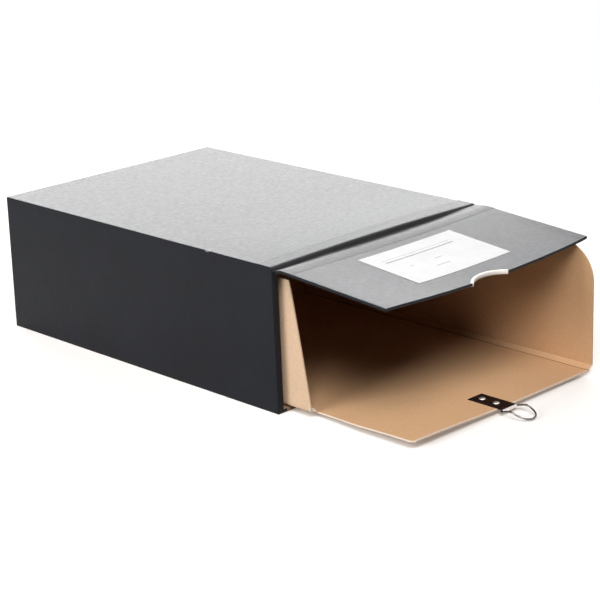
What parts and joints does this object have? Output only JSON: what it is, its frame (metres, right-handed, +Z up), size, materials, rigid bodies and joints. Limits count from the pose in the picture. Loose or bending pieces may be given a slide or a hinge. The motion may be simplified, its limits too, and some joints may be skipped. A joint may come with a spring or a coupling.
{
  "type": "file box with drawer",
  "caption": "Upright-sided archive box lying flat: a paper-covered slipcase with a hinged flap over its mouth and a pull-out tray of folded board with a ring pull.",
  "frame": {"origin": "middle of the slipcase's underside, on the surface it lies on", "axes": "+Z up; -Y out of the slipcase's mouth, the way the tray pulls out; +X to the right of someone who looks into the mouth"},
  "size_m": [0.25, 0.5153, 0.1253],
  "materials": {
    "greyboard": "matte",
    "black_paper": "satin",
    "hinge_cloth": "satin",
    "edging": "satin",
    "label_paper": "matte",
    "tan_board": "matte",
    "gummed_tape": "matte",
    "black_enamel": "gloss",
    "nickel": "polished",
    "steel_wire": "polished"
  },
  "bodies": {
    "slipcase": {"slipcase_left_board": "greyboard", "slipcase_right_board": "greyboard", "slipcase_bottom_board": "greyboard", "slipcase_top_board": "greyboard", "slipcase_back_board": "greyboard", "slipcase_base_paper": "black_paper", "slipcase_back_paper": "black_paper", "slipcase_wrap_paper": "black_paper", "hinge_cloth_case_leaf": "hinge_cloth"},
    "flap": {"flap_board": "greyboard", "flap_lining_paper": "black_paper", "flap_cover_paper": "black_paper", "notch_edging": "edging", "hinge_cloth_flap_leaf": "hinge_cloth", "title_label": "label_paper"},
    "tray": {"tray_floor": "tan_board", "tray_right_wall": "tan_board", "tray_left_wall": "tan_board", "tray_back_wall": "tan_board", "tray_left_corner_tape": "gummed_tape", "tray_right_corner_tape": "gummed_tape", "pull_tab": "black_enamel", "tab_rivets": "nickel"},
    "ring": {"pull_ring": "steel_wire"}
  },
  "joints": [
    {"name": "flap_hinge", "type": "hinge", "parent": "slipcase", "child": "flap", "pos_m": [0, -0.17725, 0.1253], "axis": [-1, 0, 0], "range_deg": [0, 180]},
    {"name": "tray_slide", "type": "slide", "parent": "slipcase", "child": "tray", "axis": [0, -1, 0], "range_m": [-0.138, 0.2]},
    {"name": "ring_swing", "type": "hinge", "parent": "tray", "child": "ring", "pos_m": [0, -0.3163, 0.0041], "axis": [-1, 0, 0], "range_deg": [0, 130]}
  ]
}
